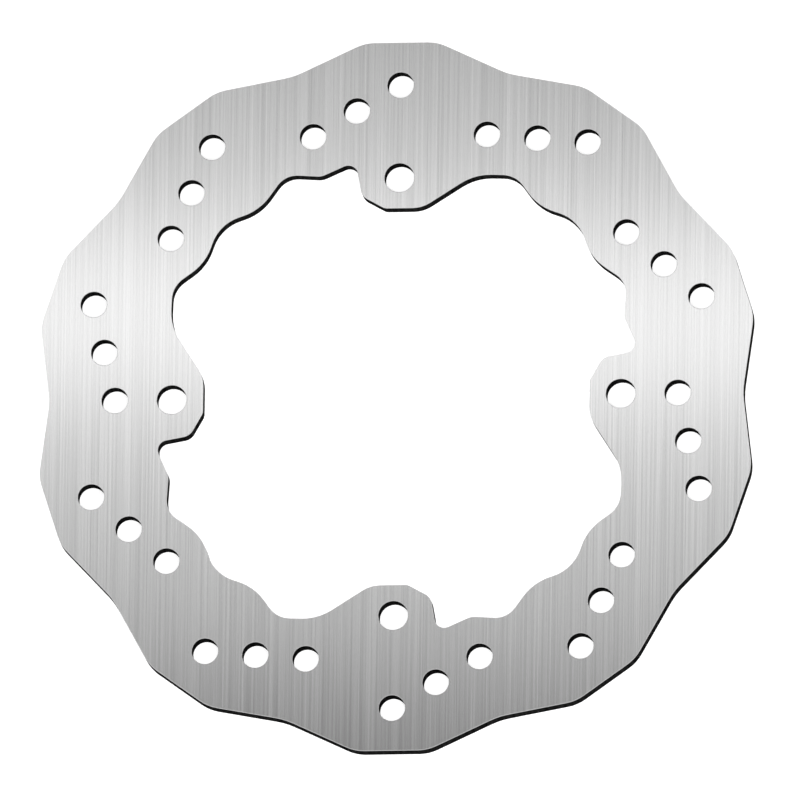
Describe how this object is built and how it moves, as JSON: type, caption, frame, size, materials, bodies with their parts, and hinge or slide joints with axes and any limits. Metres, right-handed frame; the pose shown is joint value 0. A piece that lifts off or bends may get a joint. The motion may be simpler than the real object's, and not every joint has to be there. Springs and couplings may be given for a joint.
{
  "type": "brake disc",
  "caption": "Flat one-piece brake disc with a wavy rim, slanted rows of drilled cooling holes and hooked inner tabs drilled for the hub bolts.",
  "frame": {"origin": "centre of the disc on its mounting (back) face; the disc lies flat on Z = 0", "axes": "+Z along the spin axis, from the mounting face to the outer face; +X and +Y each run through the middle of a bolt tab"},
  "size_m": [0.2154, 0.22, 0.005],
  "materials": {
    "brake_disc": "both faces ground and brushed with a fine straight grain; cut edges and hole walls left dark and rough"
  },
  "bodies": {
    "root": {"brake_disc": "brake_disc"}
  },
  "joints": []
}
